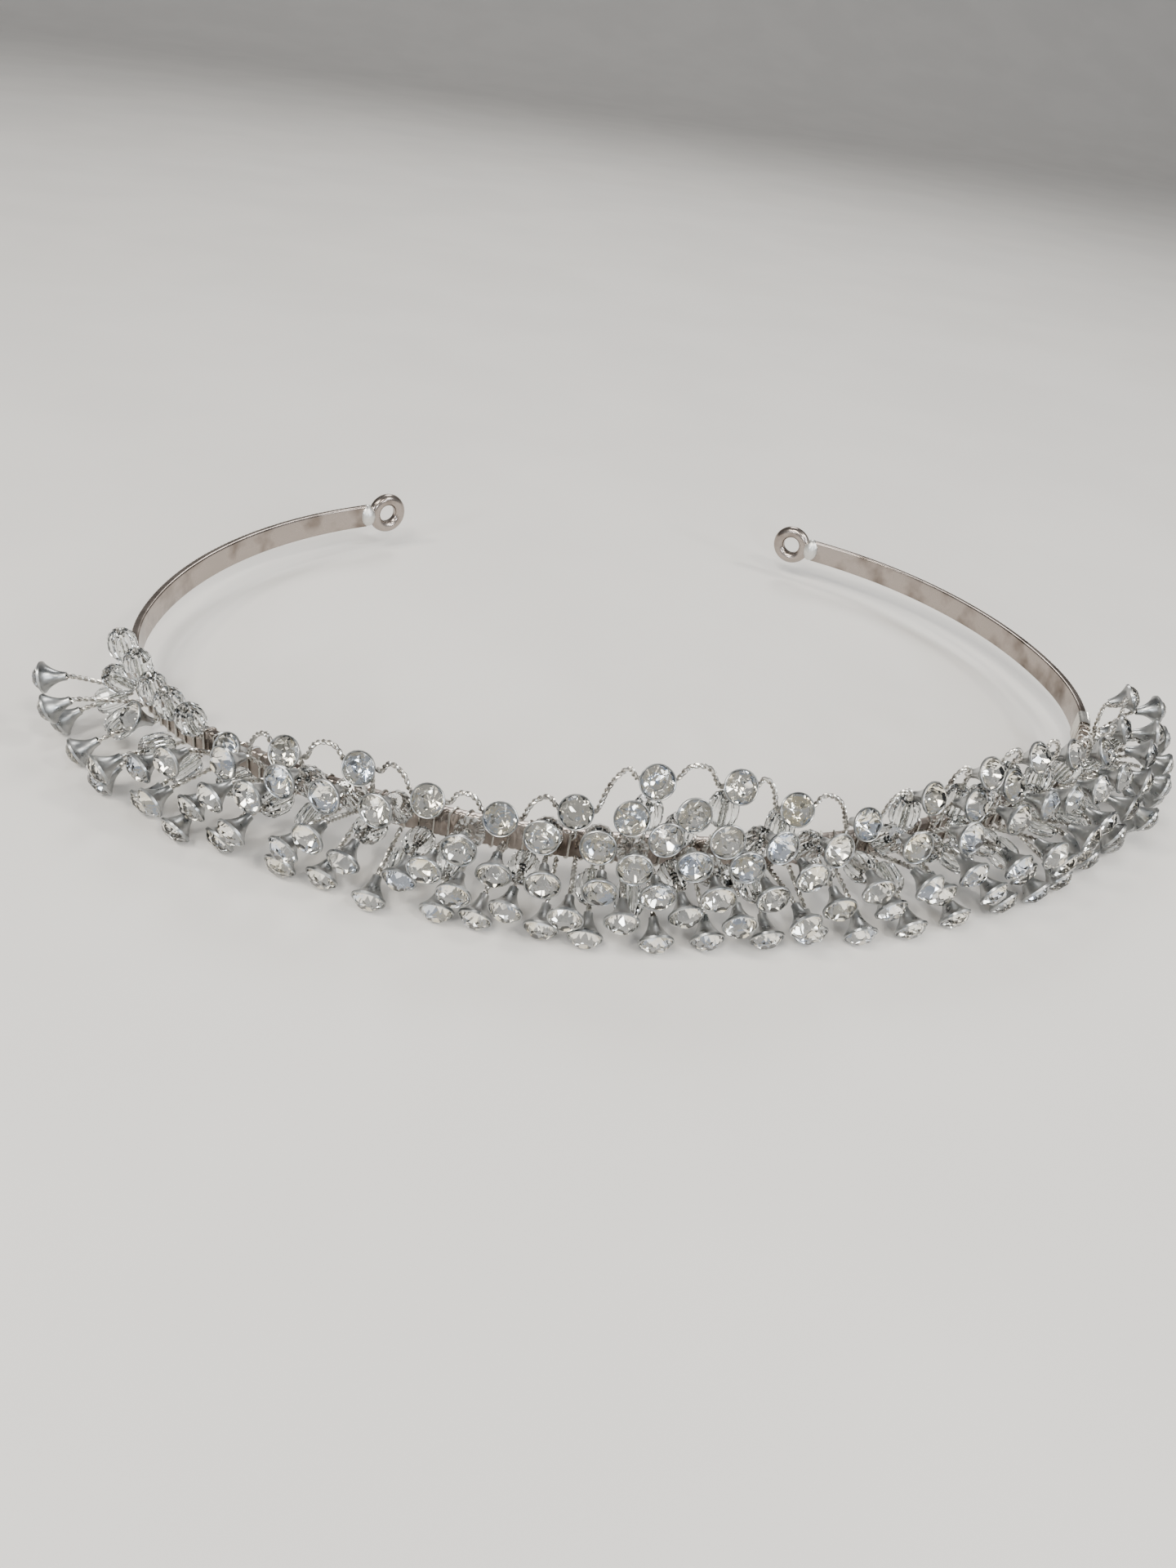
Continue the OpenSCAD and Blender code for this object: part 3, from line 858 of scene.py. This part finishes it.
class TIARA_OT_rings(bpy.types.Operator):
    """Finishes the wire rings and the solder that holds them to the strip's tips"""
    bl_idname = "tiara.rings"
    bl_label = "End rings"

    def execute(self, context):
        for side in ("left", "right"):
            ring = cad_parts[side + "_end_ring"]
            ring.data.materials.clear()
            ring.data.materials.append(finish("silver_plate_on_rolled_brass"))
            self.solder(side)
        return {"FINISHED"}

    def solder(self, side):
        """A lump of solder, uneven as it set, over the joint's CAD solid."""
        low, high = (np.array(c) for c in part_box(side + "_solder"))
        centre, half = (low + high) / 2, np.array([1.68, 1.68, 2.1]) * MM
        body_share, bump_size, bump_tightness, lumps = 0.96, 0.1, 6, 9
        work = bmesh.new()
        bmesh.ops.create_icosphere(work, subdivisions=4, radius=1.0)
        draw = np.random.RandomState(8 if side == "left" else 21)
        bumps = draw.normal(size=(lumps, 3))
        bumps /= np.linalg.norm(bumps, axis=1)[:, None]
        heights = draw.uniform(-0.9 * bump_size, bump_size, lumps)
        for vert in work.verts:
            way = np.array(vert.co)
            lump = sum(height * math.exp(-bump_tightness * (1 - way @ bump_way))
                       for bump_way, height in zip(bumps, heights))
            vert.co = Vector(centre + way * half * (body_share + lump))
        mesh = bpy.data.meshes.new(side + "_solder_lump")
        work.to_mesh(mesh)
        work.free()
        mesh.materials.append(finish("set_soft_solder"))
        mesh.polygons.foreach_set("use_smooth", [True] * len(mesh.polygons))
        piece = bpy.data.objects.new(side + "_solder_lump", mesh)
        bpy.context.scene.collection.objects.link(piece)
        ride_and_replace(piece, side + "_arm", "solder", side + "_solder")


# ---------------------------------------------------------------- stage

def area_light(name, place, target, size, power, tint):
    """A round soft lamp that faces a target."""
    light = bpy.data.lights.new(name, "AREA")
    light.shape = "DISK"
    light.size = size
    light.energy = power
    light.color = tint
    obj = bpy.data.objects.new(name, light)
    obj.location = place
    obj.rotation_euler = (Vector(target) - Vector(place)).to_track_quat("-Z", "Y").to_euler()
    bpy.context.scene.collection.objects.link(obj)


class TIARA_OT_stage(bpy.types.Operator):
    """Sets the pale floor, the soft lights and the camera"""
    bl_idname = "tiara.stage"
    bl_label = "Stage"

    def execute(self, context):
        self.floor()
        self.lights(context.scene)
        self.camera(context.scene)
        return {"FINISHED"}

    def floor(self):
        """A floor that runs up into a wall well behind the tiara."""
        width, near, bend, radius, top = 6.0, -6.0, 1.2, 0.8, 4.0
        low = cad_box[0][2]
        turns = np.linspace(0, math.pi / 2, 16)
        outline = [(near, low), *((bend + radius * math.sin(a), low + radius * (1 - math.cos(a)))
                                  for a in turns), (bend + radius, top)]
        shape = Shape()
        shape.add([(x, y, z) for y, z in outline for x in (-width, width)],
                  [[i, i + 1, i + 3, i + 2] for i in range(0, 2 * len(outline) - 2, 2)])
        shape.piece("pale_floor", [finish("matt_painted_board")], True)

    def lights(self, scene):
        world = bpy.data.worlds.new("soft_room")
        world.use_nodes = True
        background = world.node_tree.nodes["Background"]
        background.inputs["Color"].default_value = rgba(hex_colour("#D6D8DB"))
        background.inputs["Strength"].default_value = 0.5
        scene.world = world
        middle = (0.0, -0.03, 0.01)
        warm, neutral, cool = (1.0, 0.96, 0.88), (1.0, 0.99, 0.97), (0.9, 0.95, 1.0)
        area_light("key", (-0.35, -0.35, 0.75), middle, 0.30, 4.0, warm)
        area_light("fill", (0.6, -0.3, 0.5), middle, 0.35, 2.0, cool)
        area_light("back", (0.1, 0.6, 0.6), middle, 0.30, 2.5, neutral)
        # Small lamps in an arc before the stones give each facet something to catch
        lamps, distance = 7, 0.8
        for i in range(lamps):
            turn = math.radians(-70 + 140 * i / (lamps - 1))
            rise = math.radians(20 if i % 2 else 48)
            place = (distance * math.sin(turn) * math.cos(rise),
                     -distance * math.cos(turn) * math.cos(rise), distance * math.sin(rise))
            area_light("lamp_%d" % (i + 1), place, middle, 0.10, 1.5, (warm, cool)[i % 2])

    def camera(self, scene):
        """A close wide view from above the front, a little to the wearer's right."""
        front = Strip(scene.tiara_headband).front
        azimuth, elevation, roll = (math.radians(angle) for angle in (-9.8, 33.7, 8.2))
        offset = Vector((-32, -116, 88)) * MM
        back = Vector((math.sin(azimuth) * math.cos(elevation),
                       -math.cos(azimuth) * math.cos(elevation), math.sin(elevation)))
        right = (-back).cross(Vector(UP)).normalized()
        top = right.cross(-back)
        side = right * math.cos(roll) + top * math.sin(roll)
        over = top * math.cos(roll) - right * math.sin(roll)
        camera = bpy.data.objects.new("camera", bpy.data.cameras.new("camera"))
        camera.data.lens = 27.0
        camera.data.sensor_width = 36.0
        camera.data.clip_start = 0.005
        turn = Matrix((side, over, back)).transposed().to_4x4()
        camera.matrix_world = Matrix.Translation(Vector(front) + offset) @ turn
        scene.collection.objects.link(camera)
        scene.camera = camera


# ---------------------------------------------------------------- add-on

OPERATORS = (TIARA_OT_finishes, TIARA_OT_headband, TIARA_OT_rings, TIARA_OT_binding, TIARA_OT_stems,
             TIARA_OT_garland_wire, TIARA_OT_beads, TIARA_OT_cups, TIARA_OT_stones,
             TIARA_OT_stage)
SETTINGS = {"tiara_headband": HeadbandSizes, "tiara_stone": StoneSizes,
            "tiara_bead": BeadSizes, "tiara_wire": WireSizes, "tiara_finishes": Finishes}


class TIARA_PT_panel(bpy.types.Panel):
    """Lists the tiara's pieces and their sizes"""
    bl_idname = "TIARA_PT_panel"
    bl_label = "Bridal tiara"
    bl_space_type = "VIEW_3D"
    bl_region_type = "UI"
    bl_category = "Tiara"

    def draw(self, context):
        for operator in OPERATORS:
            self.layout.operator(operator.bl_idname)
        for name, group in SETTINGS.items():
            box = self.layout.box()
            for key in group.__annotations__:
                box.prop(getattr(context.scene, name), key)


CLASSES = (*SETTINGS.values(), *OPERATORS, TIARA_PT_panel)


def register():
    for cls in CLASSES:
        bpy.utils.register_class(cls)
    for name, group in SETTINGS.items():
        setattr(bpy.types.Scene, name, PointerProperty(type=group))


def unregister():
    for name in SETTINGS:
        delattr(bpy.types.Scene, name)
    for cls in reversed(CLASSES):
        bpy.utils.unregister_class(cls)


def main():
    register()
    for operator in OPERATORS:
        group, name = operator.bl_idname.split(".")
        getattr(getattr(bpy.ops, group), name)()


if __name__ == "__main__":
    main()
